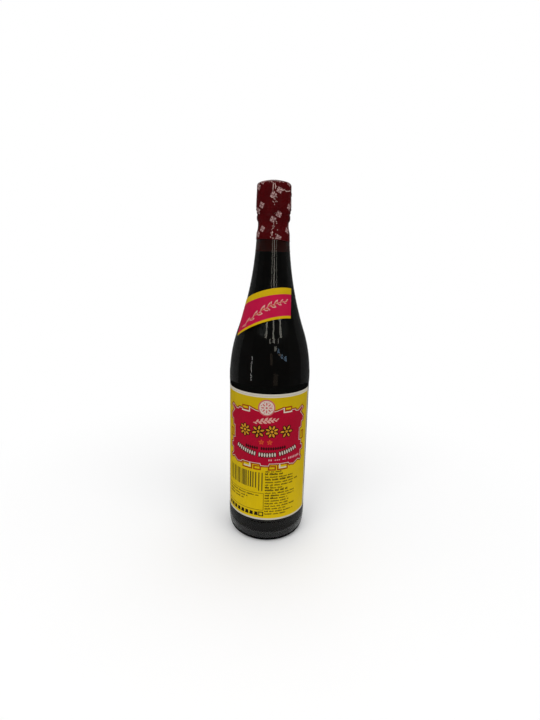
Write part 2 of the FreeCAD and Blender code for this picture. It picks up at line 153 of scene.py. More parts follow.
def s_curve(height, body, neck, shoulder_sweep, neck_sweep):
    """Radius of the shoulder's and the neck's arc, and of the straight walls below and above."""
    if height <= SHOULDER:
        return body
    if height >= NECK_TOP:
        return neck
    if height - SHOULDER <= shoulder_sweep * math.sin(TURN):
        return body - shoulder_sweep + math.sqrt(shoulder_sweep**2 - (height - SHOULDER) ** 2)
    return neck + neck_sweep - math.sqrt(neck_sweep**2 - (NECK_TOP - height) ** 2)


def waist_and_bead(height, radius, film=0.0):
    """The waist under the bead and the bead, on the glass or on the film over it."""
    waist, from_waist = WAIST_SWEEP - film, height - NECK_TOP + WAIST_DROP
    if abs(from_waist) < waist:
        radius = min(radius, NECK - WAIST_DEPTH + WAIST_SWEEP - math.sqrt(waist**2 - from_waist**2))
    bead, from_bead = BEAD_SWEEP + film, height - NECK_TOP
    if abs(from_bead) < bead:
        radius = max(radius, NECK + BEAD_OUT - BEAD_SWEEP + math.sqrt(bead**2 - from_bead**2))
    return radius


def glass_radius(height):
    """The outside of the shoulder and neck."""
    return waist_and_bead(height, s_curve(height, BODY, NECK, SHOULDER_SWEEP, NECK_SWEEP))


def inside_radius(height):
    """The cavity's radius from the shoulder up."""
    body, neck, sweep = BODY - WALL, NECK - NECK_WALL, SHOULDER_SWEEP - WALL
    neck_sweep = (RISE**2 + (body - neck) ** 2) / (2 * (body - neck)) - sweep
    return s_curve(height, body, neck, sweep, neck_sweep)


def film_radius(height):
    """The outside of the capsule below the crown's corner."""
    radius = s_curve(height, BODY, NECK, SHOULDER_SWEEP, NECK_SWEEP) + FILM
    radius = waist_and_bead(height, radius, FILM)
    if height < CLOSURE_FOOT:
        return radius
    centre = NECK + BEAD_OUT - math.sqrt(BELLY_SWEEP**2 - (CLOSURE_BELLY - CLOSURE_FOOT) ** 2)
    if height <= CLOSURE_BELLY:
        return max(radius, centre + math.sqrt(BELLY_SWEEP**2 - (height - CLOSURE_BELLY) ** 2))
    share = min((height - CLOSURE_BELLY) / (CLOSURE_SHOULDER - CLOSURE_BELLY), 1)
    belly = centre + BELLY_SWEEP
    return max(radius, belly + (CLOSURE_SIDE - belly) * share**0.9)


# Outlines for spinning, and pieces


class Pen:
    """Draws an outline in the XZ plane of a bmesh, and spins it about Z."""

    def __init__(self, across, up):
        self.bm = bmesh.new()
        self.tip = self.bm.verts.new((across, 0, up))

    def line(self, across, up, steps=1):
        """Draws straight to a point."""
        start, end = self.tip.co.copy(), Vector((across, 0, up))
        for step in range(1, steps + 1):
            self.tip = bmesh.ops.extrude_vert_indiv(self.bm, verts=[self.tip])["verts"][0]
            self.tip.co = start.lerp(end, step / steps)

    def arc(self, across, up, angle, steps):
        """Draws round a centre; a positive angle runs from +X towards +Z."""
        swept = bmesh.ops.spin(
            self.bm, geom=[self.tip], cent=(across, 0, up), axis=(0, -1, 0), angle=angle, steps=steps
        )
        self.tip = points_of(swept["geom_last"])[0]

    def follow(self, radius, up, steps):
        """Draws up or down to a height along a surface given by its radius at a height."""
        start = self.tip.co.z
        for step in range(1, steps + 1):
            height = start + (up - start) * step / steps
            self.line(radius(height), height)

    def spin(self, segments):
        """Turns the outline into a closed skin and returns the bmesh."""
        outline = self.bm.verts[:] + self.bm.edges[:]
        bmesh.ops.spin(self.bm, geom=outline, axis=(0, 0, 1), angle=math.tau, steps=segments, use_merge=True)
        bmesh.ops.remove_doubles(self.bm, verts=self.bm.verts, dist=0.002 * MM)
        bmesh.ops.recalc_face_normals(self.bm, faces=self.bm.faces)
        return self.bm


def make_object(bm, name, material):
    """Turns a bmesh into an object."""
    mesh = bpy.data.meshes.new(name)
    bm.to_mesh(mesh)
    bm.free()
    mesh.materials.append(material)
    made = bpy.data.objects.new(name, mesh)
    PIECES.objects.link(made)
    return made


def finish_piece(bm, name, material, replaced=(), sharp=40):
    """Turns a bmesh into a smooth piece of the object that rides on its one body."""
    for face in bm.faces:
        face.smooth = True
    piece = make_object(bm, name, material)
    piece.data.set_sharp_from_angle(angle=math.radians(sharp))
    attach(piece, "root")
    if replaced:
        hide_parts(*replaced)


# Flat print and how it is wrapped


class Print:
    """Flat shapes in the XZ plane that become one thin layer of ink on a curved surface."""

    def __init__(self):
        self.bm = bmesh.new()

    def patch(self, points):
        """A filled outline, given anticlockwise as seen from the front."""
        return self.bm.faces.new([self.bm.verts.new((x * MM, 0, z * MM)) for x, z in points])

    def bar(self, left, low, right, high):
        """An upright rectangle."""
        self.patch([(left, low), (right, low), (right, high), (left, high)])

    def oval(self, x, z, width, height, turn=0.0, sides=14):
        """A filled oval, turned anticlockwise."""
        place = (
            Matrix.Translation((x * MM, 0, z * MM))
            @ Matrix.Rotation(-turn, 4, "Y")
            @ Matrix.Diagonal((width / 2 * MM, 1, height / 2 * MM, 1))
            @ Matrix.Rotation(math.pi / 2, 4, "X")
        )
        bmesh.ops.create_circle(self.bm, cap_ends=True, radius=1, segments=sides, matrix=place)

    def leaf(self, x, z, length, width, turn):
        """A pointed oval whose foot is at a point, and which runs along +X before it is turned."""
        outline = [(0, 0), (0.3, -0.42), (0.65, -0.4), (1, 0), (0.65, 0.4), (0.3, 0.42)]
        cosine, sine = math.cos(turn), math.sin(turn)
        points = [(along * length, aside * width) for along, aside in outline]
        self.patch([(x + a * cosine - b * sine, z + a * sine + b * cosine) for a, b in points])

    def petals(self, x, z, count, reach, length, width, turn=0.0):
        """A ring of ovals round a centre."""
        for petal in range(count):
            angle = turn + math.tau * petal / count
            self.oval(x + reach * math.cos(angle), z + reach * math.sin(angle), length, width, angle, 10)

    def fret(self, corners, width, flip=1, shift=0.0):
        """A square-cornered line through corners, each level with or upright from the one before."""
        half = width / 2
        places = [(flip * x + shift, z) for x, z in corners]
        for start, end in zip(places, places[1:]):
            axis = 0 if abs(end[0] - start[0]) > abs(end[1] - start[1]) else 1
            way = math.copysign(half, end[axis] - start[axis])
            back = way if start == places[0] else -way
            low, high = [place - half for place in end], [place + half for place in end]
            low[axis], high[axis] = sorted((start[axis] - back, end[axis] + way))
            self.bar(*low, *high)

    def sprig(self, stem, grain, count, start, end, lean):
        """An ear of rice: a bent stem with grains to both sides, heavier towards the tip."""
        (x0, z0), (x1, z1) = start, end
        step = math.hypot(x1 - x0, z1 - z0) / count
        for number in range(count):
            share = (number + 0.5) / count
            x = x0 + (x1 - x0) * share
            z = z0 + (z1 - z0) * share + lean * math.sin(math.pi * share)
            slope = math.atan2(z1 - z0 + lean * math.pi * math.cos(math.pi * share), x1 - x0)
            size = grain * (0.55 + 0.45 * math.sin(math.pi * min(share * 1.15, 1)))
            side = 1 if number % 2 else -1
            self.leaf(x, z, size * 1.55, size * 0.75, slope + side * 0.62)
            back = step * 0.6
            self.leaf(x - back * math.cos(slope), z - back * math.sin(slope), step * 1.25, stem, slope)

    def cut(self, axis, step):
        """Cuts the shapes at every step along X or Z, so that they can bend there."""
        places = [vert.co[axis] for vert in self.bm.verts]
        plane, normal = [0, 0, 0], [0, 0, 0]
        normal[axis] = 1
        for number in range(math.floor(min(places) / step) + 1, math.ceil(max(places) / step)):
            plane[axis] = number * step
            parts = self.bm.verts[:] + self.bm.edges[:] + self.bm.faces[:]
            bmesh.ops.bisect_plane(self.bm, geom=parts, dist=1e-7, plane_co=plane, plane_no=normal)

    def wrap(self, surface, lift, thickness, steps):
        """Gives the layer its thickness, bends it round a surface and returns the bmesh."""
        for axis, step in steps.items():
            self.cut(axis, step)
        bmesh.ops.triangulate(self.bm, faces=self.bm.faces)
        return thicken(self.bm, thickness, lambda x, z, depth: surface(x, z, lift - depth))


def thicken(bm, thickness, bend):
    """Gives a flat sheet in the XZ plane its thickness, then bends it."""
    grown = bmesh.ops.extrude_face_region(bm, geom=bm.faces[:], use_keep_orig=True)["geom"]
    bmesh.ops.translate(bm, verts=points_of(grown), vec=(0, thickness, 0))
    bmesh.ops.recalc_face_normals(bm, faces=bm.faces)
    for vert in bm.verts:
        vert.co = bend(vert.co.x, vert.co.z, vert.co.y)
    return bm


def on_label(x, z, lift):
    """A point of the body label's flat frame on the panel, lifted outwards from the glass."""
    radius = PANEL + PAPER
    return round_axis(LABEL_AZIMUTH + x / radius, radius + lift, z)


def sash_edges(azimuth, radius):
    """Heights of the sash's lower and upper edge at a place on the neck."""
    along = radius * math.cos(azimuth - SASH_AZIMUTH)
    return SASH_BOTTOM + along * SASH_BOTTOM_SLOPE, SASH_TOP + along * SASH_TOP_SLOPE


def sash_span(azimuth):
    """Heights of the sash's lower and upper edge at an azimuth."""
    low = high = 0.2
    for _ in range(10):
        low = sash_edges(azimuth, glass_radius(low) + PAPER)[0]
        high = sash_edges(azimuth, glass_radius(high) + PAPER)[1]
    return low, high


def on_sash(x, z, lift):
    """A point of the sash's flat frame on the neck: z is the height above its lower edge."""
    azimuth = x / SASH_RADIUS
    height = sash_span(azimuth)[0] + z
    return round_axis(azimuth, glass_radius(height) + PAPER + lift + sash_ripple(azimuth, z), height)


def sash_ripple(azimuth, z):
    """How far the sash stands off the glass: a small slanted wrinkle near its lower edge."""
    up = z / MM
    along = math.degrees(azimuth) - 7 + 1.1 * up
    return 0.16 * MM * math.exp(-((along / 6) ** 2)) * math.exp(-(((up - 8) / 5) ** 2))


# Finishes


class Finish:
    """The nodes of a material or of the world, and short ways to add to them."""

    def __init__(self, name, world=False, **sockets):
        self.owner = (bpy.data.worlds if world else bpy.data.materials).new(name)
        self.owner.use_nodes = True
        self.tree = self.owner.node_tree
        self.shader = self.tree.nodes["Background" if world else "Principled BSDF"]
        self.end = self.tree.nodes["World Output" if world else "Material Output"]
        for socket, value in sockets.items():
            self.shader.inputs[socket.replace("_", " ")].default_value = value

    def add(self, kind, inputs=None, **settings):
        """Adds a node whose inputs are values or other nodes' outputs."""
        node = self.tree.nodes.new("ShaderNode" + kind)
        for name, value in settings.items():
            setattr(node, name, value)
        for socket, value in (inputs or {}).items():
            if isinstance(value, bpy.types.NodeSocket):
                self.tree.links.new(value, node.inputs[socket])
            else:
                node.inputs[socket].default_value = value
        return node

    def place(self):
        """The place on the object, in metres."""
        return self.add("TexCoord").outputs["Object"]

    def height(self):
        """The height above the ground, in metres."""
        return self.add("SeparateXYZ", {"Vector": self.place()}).outputs["Z"]

    def noise(self, scale, detail=3.0, stretch=(1, 1, 1)):
        """Noise of a scale in features per metre."""
        mapping = self.add("Mapping", {"Vector": self.place(), "Scale": stretch})
        inputs = {"Vector": mapping.outputs["Vector"], "Scale": scale, "Detail": detail, "Roughness": 0.55}
        return self.add("TexNoise", inputs).outputs["Fac"]

    def ramp(self, factor, *stops):
        """Colours along a factor between two stops (position, colour)."""
        node = self.add("ValToRGB", {"Fac": factor})
        for element, (position, colour) in zip(node.color_ramp.elements, stops):
            element.position = position
            element.color = (*colour, 1)
        return node.outputs["Color"]

    def spread(self, factor, low, high, start=0.3, end=0.7, **settings):
        """Maps a factor from start..end to low..high."""
        inputs = {"Value": factor, "From Min": start, "From Max": end, "To Min": low, "To Max": high}
        return self.add("MapRange", inputs, **settings).outputs["Result"]

    def math(self, operation, first, second):
        """Sum, product or larger of two values or outputs."""
        return self.add("Math", {0: first, 1: second}, operation=operation).outputs["Value"]

    def bump(self, height, distance, strength, under=None):
        """A bumpy normal, over another one where that is given."""
        inputs = {"Height": height, "Distance": distance, "Strength": strength}
        if under is not None:
            inputs["Normal"] = under
        return self.add("Bump", inputs).outputs["Normal"]

    def feed(self, **outputs):
        """Feeds the shader and returns the material."""
        for socket, output in outputs.items():
            self.tree.links.new(output, self.shader.inputs[socket.replace("_", " ")])
        return self.owner

    def white_to_eyes(self, kind, share=1.0):
        """Plain white to all that looks at it, reflects it or refracts it, and itself as a light."""
        path = self.add("LightPath")
        seen = path.outputs["Is Camera Ray"]
        for other in ("Is Glossy Ray", "Is Transmission Ray"):
            seen = self.math("MAXIMUM", seen, path.outputs[other])
        seen = self.math("MULTIPLY", seen, share)
        white = self.add(kind, {"Color": (1, 1, 1, 1)})
        mix = self.add("MixShader", {0: seen, 1: self.shader.outputs[0], 2: white.outputs[0]})
        self.tree.links.new(mix.outputs[0], self.end.inputs["Surface"])
        return self.owner


def printed_paper(name, colour, depth=0.07, roughness=0.5, gloss=0.05, fade=0.0):
    """Ink on coated paper: cloudy by a few percent, with the paper's tooth, and with painted light where
    asked: lighter towards the label's foot, darker towards its top.
    """
    finish = Finish(name, Specular_IOR_Level=gloss)
    cloud = finish.spread(finish.noise(90, 4), -depth, depth)
    # Painted light: a gradient over the label's height, lighter at its foot and darker at its top, in place
    # of more light from below.
    if fade:
        up = finish.spread(finish.height(), fade, -fade, LABEL_LOW.z, LABEL_HIGH.z)
        cloud = finish.math("ADD", cloud, up)
    reach = depth + fade
    share = finish.spread(cloud, 0, 1, -reach, reach)
    return finish.feed(
        Base_Color=finish.ramp(share, (0, tone(colour, 1 - reach)), (1, tone(colour, 1 + reach))),
        Roughness=finish.spread(finish.noise(340), roughness - 0.07, roughness + 0.08),
        Normal=finish.bump(finish.noise(5200), 0.02 * MM, 0.35),
    )


def clear_glass(name, colour):
    """Moulded glass: slightly wavy, and stippled round the heel."""
    finish = Finish(name, Transmission_Weight=1.0, IOR=1.5, Base_Color=(*colour, 1))
    heel = finish.spread(finish.height(), 1.0, 0.0, 4 * MM, 23 * MM)
    wave = finish.bump(finish.noise(150, 1, (1, 1, 1.6)), 0.10 * MM, 0.05)
    stipple = finish.bump(finish.noise(1500, 1), 0.10 * MM, finish.math("MULTIPLY", heel, 0.45), wave)
    rough = finish.math("MULTIPLY", heel, finish.spread(finish.noise(900, 2), 0.03, 0.16))
    wear = finish.spread(finish.noise(160, 4), 0.015, 0.05)
    return finish.feed(Roughness=finish.math("ADD", rough, wear), Normal=stipple)


def dark_vinegar(name, colour, thin):
    """The vinegar: nearly black, with cloudy patches of a redder shade."""
    finish = Finish(name, Specular_IOR_Level=0.04)
    cloud = finish.noise(45)
    return finish.feed(
        Base_Color=finish.ramp(cloud, (0.35, colour), (0.75, thin)),
        Roughness=finish.spread(cloud, 0.08, 0.16),
        Normal=finish.bump(finish.noise(120, 2), 0.05 * MM, 0.2),
    )


def shrunk_film(name, colour, glow):
    """Shrunk film: satin, tightened in fine upright and level creases."""
    finish = Finish(name, Specular_IOR_Level=0.05)
    crinkle = finish.bump(finish.noise(420, 4, (1, 1, 0.45)), 0.25 * MM, 0.35)
    return finish.feed(
        Base_Color=finish.ramp(finish.noise(160, 4, (1, 1, 0.5)), (0.3, colour), (0.72, glow)),
        Roughness=finish.spread(finish.noise(500), 0.22, 0.36),
        Normal=finish.bump(finish.noise(2600), 0.03 * MM, 0.3, crinkle),
    )


def plain(name, grey, roughness, gloss):
    """A plain grey surface of the stage."""
    return Finish(name, Base_Color=(grey, grey, grey, 1), Roughness=roughness, Specular_IOR_Level=gloss)


# What a user would change


def length(name, description, default):
    return bpy.props.FloatProperty(
        name=name, description=description, default=default, unit="LENGTH", precision=5
    )


def colour(name, description, default):
    return bpy.props.FloatVectorProperty(
        name=name, description=description, default=default, subtype="COLOR", size=3, min=0, max=1
    )


class BottleSizes(bpy.types.PropertyGroup):
    border: length("Border", "Width of the body label's pale border at the top", 2.9 * MM)
    border_foot: length("Border at the foot", "Width of the pale border at the bottom", 1.6 * MM)
    border_side: length("Border at the sides", "Width of the pale border at both ends", 2.6 * MM)
    outline: length("Outline", "Width of each of the two lines round the crimson panel", 0.8 * MM)
    medallion: length("Medallion", "Width of the round medallion above the panel", 14.5 * MM)
    stripe: length("Stripe", "Height of the sash's upper yellow stripe", 5.1 * MM)
    stripe_foot: length("Lower stripe", "Height of the sash's lower yellow stripe", 2.0 * MM)
    blossom: length("Blossom", "Width of one blossom on the capsule", 5.2 * MM)
    meniscus: length("Meniscus", "How far the vinegar climbs the glass", 1.2 * MM)
    clearance: length("Reach", "How far the vinegar reaches into the glass's wall", 0.08 * MM)


class BottleColours(bpy.types.PropertyGroup):
    glass: colour("Glass", "Tint of the clear glass", paint(233, 239, 234))
    vinegar: colour("Vinegar", "The vinegar in bulk", (0.0005, 0.0004, 0.0003))
    vinegar_thin: colour("Thin vinegar", "The vinegar where it is thin", (0.0014, 0.0007, 0.0005))
    # The clinging vinegar's colour is also painted shade for the clear neck above the fill.
    cling_shade: colour("Clinging vinegar", "The film of vinegar left above the fill", (0.021, 0.0036, 0.0026))
    film: colour("Film", "The capsule's shrunk film", (0.041, 0.0012, 0.0018))
    blossom: colour("Blossom", "Pale motifs on the film", paint(150, 120, 118))
    paper: colour("Paper", "Bare paper round the label", paint(184, 178, 164))
    yellow: colour("Yellow", "The body label's ground", paint(186, 158, 3))
    sash_yellow: colour("Sash yellow", "The sash's stripes", paint(183, 150, 0))
    crimson: colour("Crimson", "The body label's panel", paint(150, 4, 36))
    sash_crimson: colour("Sash crimson", "The sash's ground", paint(168, 10, 56))
    rust: colour("Rust", "Outer line and frets", paint(136, 52, 6))
    gold: colour("Gold", "The four rosettes", paint(178, 124, 30))
    black: colour("Black", "Outlines and small print", paint(30, 22, 14))
    olive: colour("Olive", "Thin small print on yellow", paint(74, 62, 12))
    white: colour("White", "Beads and the medallion", paint(186, 172, 160))
    rose: colour("Rose", "The medallion's ring and rosette", paint(170, 84, 84))
    orange: colour("Orange", "The two small blossoms", paint(176, 66, 34))


def sizes():
    return bpy.context.scene.bottle_sizes


def colours():
    return bpy.context.scene.bottle_colours


# Stage

CAMERA_PLACE, CAMERA_LENS = (0, -0.35562, 0.24850), 20.713
CAMERA_TILT, CAMERA_ROLL = math.radians(90 - 13.986), 0.0248
FLOOR_DROP, RING_DROP = 0.05 * MM, 0.03 * MM  # how far the floor and its rings lie under the base
CARD_RADIUS, CARD_HEIGHT = 0.43, 0.85
GLINT_RADIUS = 0.41
MIDDLE = (0, 0, 0.16)  # what the soft boxes face

# Cards that only gloss shows: how light each is, and the azimuths in degrees between which it
# stands, darkest in front of the bottle.
CARDS = (
    ("flag_front", 0.002, -55, 55),
    ("flag_side_left", 0.02, -95, -55),
    ("flag_side_right", 0.02, 55, 95),
    ("flag_left", 0.12, -156, -95),
    ("flag_right", 0.09, 95, 156),
)

# The same for rings of card on the floor, between two radii.
RINGS = (
    ("flag_under_base", 0.02, 0.1 * MM, BODY + 1 * MM),
    ("flag_near", 0.60, BODY + 1 * MM, 0.047),
    ("flag_middle", 0.28, 0.047, 0.084),
    ("flag_far", 0.004, 0.084, 0.6),
)

# Square soft boxes: place, width and power.
BOXES = (
    ("key_box", (-0.75, -1.0, 1.25), 0.9, 6.7),
    ("fill_box", (0.95, -0.8, 1.15), 0.9, 4.3),
    ("top_box", (0.1, 0.35, 1.5), 1.0, 5.0),
)

WHITE, STRAW, BLUISH, WARM = (1, 1, 1), (1, 0.97, 0.84), (0.45, 0.7, 1), (1, 0.75, 0.55)

# Narrow lamps behind the camera that glint in the glass: azimuth in degrees, the heights of
# their ends and their width in metres, how bright they are beside a white card, and the tint.
GLINTS = (
    (-2, 0.318, 0.358, 0.042, 1.2, STRAW),
    (11, 0.318, 0.356, 0.050, 1.9, STRAW),
    (25, 0.316, 0.352, 0.036, 1.1, STRAW),
    (-15, 0.358, 0.402, 0.052, 2.2, STRAW),
    (9.5, 0.357, 0.398, 0.044, 2.2, STRAW),
    (35, 0.350, 0.390, 0.052, 2.2, STRAW),
    (15, 0.262, 0.300, 0.050, 1.5, STRAW),
    (24, 0.246, 0.276, 0.048, 1.5, BLUISH),
    (33, 0.204, 0.236, 0.052, 1.6, BLUISH),
    (43, 0.184, 0.216, 0.052, 1.7, BLUISH),
    (27, 0.226, 0.240, 0.060, 0.8, WARM),
    (4, 0.170, 0.250, 0.050, 0.22, WARM),
    (16, 0.030, 0.110, 0.090, 0.16, WARM),
    (-50.5, 0.049, 0.206, 0.017, 2.8, WHITE),
)


def make_floor():
    """A wide pale floor that turns to plain white away from the bottle's shadow."""
    bm = bmesh.new()
    bmesh.ops.create_circle(bm, cap_ends=True, radius=6, segments=96)
    bmesh.ops.translate(bm, verts=bm.verts, vec=(0, 0, cad_low.z - FLOOR_DROP))
    finish = plain("pale_floor", 0.93, 0.9, 0.1)
    away = finish.add("VectorMath", {0: finish.place()}, operation="LENGTH").outputs["Value"]
    far = finish.spread(away, 0.0, 1.0, 0.06, 0.38, interpolation_type="SMOOTHSTEP")
    floor = make_object(bm, "floor", finish.white_to_eyes("Emission", far))


def make_card(name, shade, bm):
    """A card that only the gloss of the pieces shows."""
    card = make_object(bm, name, plain(name, shade, 1, 0).owner)
    card.visible_camera = card.visible_diffuse = card.visible_shadow = False
    card.visible_transmission = False


def floor_ring(inner, outer):
    """A flat ring just above the floor."""
    bm = bmesh.new()
    hole = bmesh.ops.create_circle(bm, radius=inner, segments=96)["verts"]
    rim = points_of(bmesh.ops.extrude_edge_only(bm, edges=bm.edges[:])["geom"])
    bmesh.ops.scale(bm, verts=rim, vec=(outer / inner, outer / inner, 1))
    bmesh.ops.translate(bm, verts=hole + rim, vec=(0, 0, cad_low.z - RING_DROP))
    return bm


def upright_card(start, end):
    """A card bent round the bottle between two azimuths in degrees."""
    bm = bmesh.new()
    foot = bm.verts.new(round_axis(math.radians(start), CARD_RADIUS, 0))
    top = bm.verts.new(round_axis(math.radians(start), CARD_RADIUS, CARD_HEIGHT))
    side, angle = bm.edges.new((foot, top)), math.radians(end - start)
    bmesh.ops.spin(bm, geom=[foot, top, side], axis=(0, 0, 1), angle=angle, steps=24)
    return bm


def make_lamp(name, place, aim, width, height, power, tint=WHITE):
    """A soft box that faces a point."""
    light = bpy.data.lights.new(name, "AREA")
    light.shape = "RECTANGLE"
    light.size, light.size_y = width, height
    light.energy = power
    light.color = tint
    lamp = bpy.data.objects.new(name, light)
    PIECES.objects.link(lamp)
    lamp.location = place
    lamp.rotation_euler = (Vector(aim) - Vector(place)).to_track_quat("-Z", "Y").to_euler()
    lamp.visible_camera = False


def make_camera():
    """The camera that looks down a little at the labels."""
    data = bpy.data.cameras.new("camera")
    data.sensor_width = 36
    data.lens = CAMERA_LENS
    camera = bpy.data.objects.new("camera", data)
    PIECES.objects.link(camera)
    turn = Matrix.Rotation(CAMERA_TILT, 4, "X") @ Matrix.Rotation(CAMERA_ROLL, 4, "Z")
    camera.matrix_world = Matrix.Translation(CAMERA_PLACE) @ turn
    bpy.context.scene.camera = camera


class BOTTLE_OT_stage(bpy.types.Operator):
    """Makes the floor, the cards, the lamps, the world and the camera"""

    bl_idname = "bottle.stage"
    bl_label = "Stage"

    def execute(self, context):
        make_camera()
        make_floor()
        for name, shade, start, end in CARDS:
            make_card(name, shade, upright_card(start, end))
        for name, shade, inner, outer in RINGS:
            make_card(name, shade, floor_ring(inner, outer))
        for name, place, width, power in BOXES:
            make_lamp(name, place, MIDDLE, width, width, power)
        for number, (azimuth, low, high, width, glow, tint) in enumerate(GLINTS):
            place = round_axis(math.radians(azimuth), GLINT_RADIUS, (low + high) / 2)
            power = math.pi * width * (high - low) * glow
            make_lamp(f"glint_{number}", place, (0, 0, place.z), width, high - low, power, tint)
        studio = Finish("studio", world=True, Color=(1, 1, 1, 1), Strength=0.64)
        context.scene.world = studio.white_to_eyes("Background")
        context.scene.view_settings.view_transform = "Standard"
        return {"FINISHED"}


# Glass and vinegar


def inside_floor(pen, reach=0.0):
    """Draws from the cavity's wall over its round heel to the middle of its domed floor."""
    wall, heel, dome = BODY - WALL + reach, 8 * MM, 90 * MM
    across = wall - heel
    rise = math.sqrt((dome + heel) ** 2 - across**2)
    heel_up = CAVITY_FLOOR - dome + rise
    meet = math.atan2(rise, across)
    pen.line(wall, heel_up, 20)
    pen.arc(across, heel_up, meet - math.pi, 14)
    pen.arc(0, CAVITY_FLOOR - dome, math.pi / 2 - meet, 16)


def glass_outline():
    """The glass's outline from the punt's top round the outside, over the lip and down inside."""
    corner, sweep, heel_height = 4.5 * MM, 46 * MM, 14.5 * MM
    reach, fall = sweep - corner, heel_height - corner
    bearing = BODY - sweep + math.sqrt(reach**2 - fall**2)
    heel_turn = math.asin(fall / reach)
    flat, punt = 2.4 * MM, 5 * MM  # the width of the ring it stands on and the punt's height
    inner = bearing - flat
    dome = (inner**2 + punt**2) / (2 * punt)
    pen = Pen(0, punt)
    pen.arc(0, punt - dome, -math.asin(inner / dome), 24)
    pen.line(bearing, 0)
    pen.arc(bearing, corner, math.pi / 2 - heel_turn, 10)
    pen.arc(BODY - sweep, heel_height, heel_turn, 16)
    panel_low, panel_high = LABEL_LOW.z - PANEL_MARGIN, LABEL_HIGH.z + PANEL_MARGIN
    pen.line(BODY, panel_low - PANEL_RAMP, 4)
    pen.line(PANEL, panel_low, 2)
    pen.line(PANEL, panel_high, 30)
    pen.line(BODY, panel_high + PANEL_RAMP, 2)
    pen.line(BODY, SHOULDER)
    pen.follow(glass_radius, NECK_TOP - 12 * MM, 90)
    pen.follow(glass_radius, NECK_TOP + 2 * MM, 28)
    pen.line(NECK, LIP - LIP_CORNER, 6)
    pen.arc(NECK - LIP_CORNER, LIP - LIP_CORNER, math.pi / 2, 6)
    pen.line(NECK - NECK_WALL, LIP)
    pen.line(NECK - NECK_WALL, NECK_TOP, 4)
    pen.follow(inside_radius, SHOULDER, 80)
    inside_floor(pen)
    return pen


class BOTTLE_OT_glass(bpy.types.Operator):
    """Spins the moulded glass bottle with its cavity"""

    bl_idname = "bottle.glass"
    bl_label = "Glass"

    def execute(self, context):
        glass = clear_glass("moulded_glass", colours().glass)
        finish_piece(glass_outline().spin(192), "glass_bottle", glass, ("bottle_glass",), 50)
        return {"FINISHED"}


class BOTTLE_OT_vinegar(bpy.types.Operator):
    """Spins the vinegar up to its fill level, and above it a dark film of clinging vinegar that is also
    painted shade in the neck
    """

    bl_idname = "bottle.vinegar"
    bl_label = "Vinegar"

    def execute(self, context):
        reach, climb, level = sizes().clearance, sizes().meniscus, FILL_LEVEL
        dark = dark_vinegar("dark_vinegar", colours().vinegar, colours().vinegar_thin)
        edge = inside_radius(level) + reach
        pen = Pen(0, level)
        pen.line(edge - climb, level, 4)
        pen.arc(edge - climb, level + climb, math.pi / 2 * 0.92, 8)
        pen.line(edge, level + climb)
        pen.follow(lambda height: inside_radius(height) + reach, SHOULDER, 80)
        inside_floor(pen, reach)
        finish_piece(pen.spin(128), "vinegar_fill", dark, ("vinegar",), 60)

        # The clinging film reaches as far into the wall and is 0.1 mm thick on the inside. It is opaque and
        # dark: a film of vinegar, and also painted shade that darkens the clear glass of the neck above the
        # fill.
        foot, top, thin = level + 0.2 * MM, FILM_FOOT + 6 * MM, 0.1 * MM
        cling_shade = dark_vinegar("clinging_vinegar_shade", colours().cling_shade, tone(colours().cling_shade, 1.5))
        pen = Pen(edge, foot)
        pen.follow(lambda height: inside_radius(height) + reach, top, 12)
        pen.line(inside_radius(top) - thin, top)
        pen.follow(lambda height: inside_radius(height) - thin, foot, 12)
        pen.line(edge, foot)
        finish_piece(pen.spin(128), "vinegar_cling_shade", cling_shade)
        return {"FINISHED"}


# Capsule


def film_creases(azimuth, height):
    """How far the shrunk film stands out from its smooth shape, in metres."""
    degrees, up = math.degrees(azimuth), height / MM
    around = Vector((math.sin(azimuth), math.cos(azimuth), 0))
    crumple = noise.noise(around * 2.2 + Vector((0, 0, up / 7)))
    fine = noise.noise(around * 6 + Vector((4, 0, up / 2.6)))
    lift = 0.10 * crumple + 0.05 * fine
    # Level folds where the film is drawn in under the closure.
    foot = CLOSURE_FOOT / MM
    sway = 0.7 * noise.noise(around * 1.7 + Vector((9, 0, 0)))
    lift += 0.17 * math.sin((up - foot + sway) * 2.4) * math.exp(-(((up - foot - 1.5) / 4.0) ** 2))
    # The film's seam: a few upright pleats in front.
    pleat = math.exp(-((((degrees + 180) % 360 - 183) / 9) ** 2))
    lift += 0.10 * pleat * math.sin(azimuth * 62 + 1.4 * noise.noise(Vector((0, 0, up / 5))))
    # One sharp crease round the right of the crown.
    if 8 < degrees < 100:
        line = 300.6 - 0.055 * (degrees - 22) + 0.5 * math.sin(degrees / 4.2) + 0.3 * math.sin(degrees / 1.9)
        start = min((degrees - 8) / 14, 1)
        lift += 0.30 * math.exp(-(((up - line) / 0.42) ** 2)) * start
        lift -= 0.12 * math.exp(-(((up - line + 2.2) / 1.6) ** 2)) * start
    return (lift - 0.10) * MM


def film_foot(azimuth):
    """The height of the film's uneven lower edge."""
    around = Vector((math.sin(azimuth), math.cos(azimuth), 0))
    dip = ((1 + math.sin(azimuth - 0.3)) / 2) ** 2
    return FILM_FOOT - (1.9 * dip - 0.25 * noise.noise(around * 2.5)) * MM


def crown_arcs():
    """The crown's corner and dome: how far out and how far down their centres lie, and where they meet."""
    across = film_radius(CLOSURE_SHOULDER) - CROWN_CORNER
    down = math.sqrt((CROWN_DOME - CROWN_CORNER) ** 2 - across**2)
    return across, down, math.atan2(down, across)


def crown_point(beyond):
    """Radius and height on the crown at a distance past the closure's shoulder."""
    across, down, meet = crown_arcs()
    if beyond < CROWN_CORNER * meet:
        turned = beyond / CROWN_CORNER
        return across + CROWN_CORNER * math.cos(turned), CLOSURE_SHOULDER + CROWN_CORNER * math.sin(turned)
    turned = meet + (beyond - CROWN_CORNER * meet) / CROWN_DOME
    return CROWN_DOME * math.cos(turned), CLOSURE_SHOULDER - down + CROWN_DOME * math.sin(turned)


def crown_crease(azimuth, height, radius):
    """How far the film is pressed in on the crown, fading out towards its middle."""
    return min(film_creases(azimuth, height) * min(radius / (6 * MM), 1), 0)


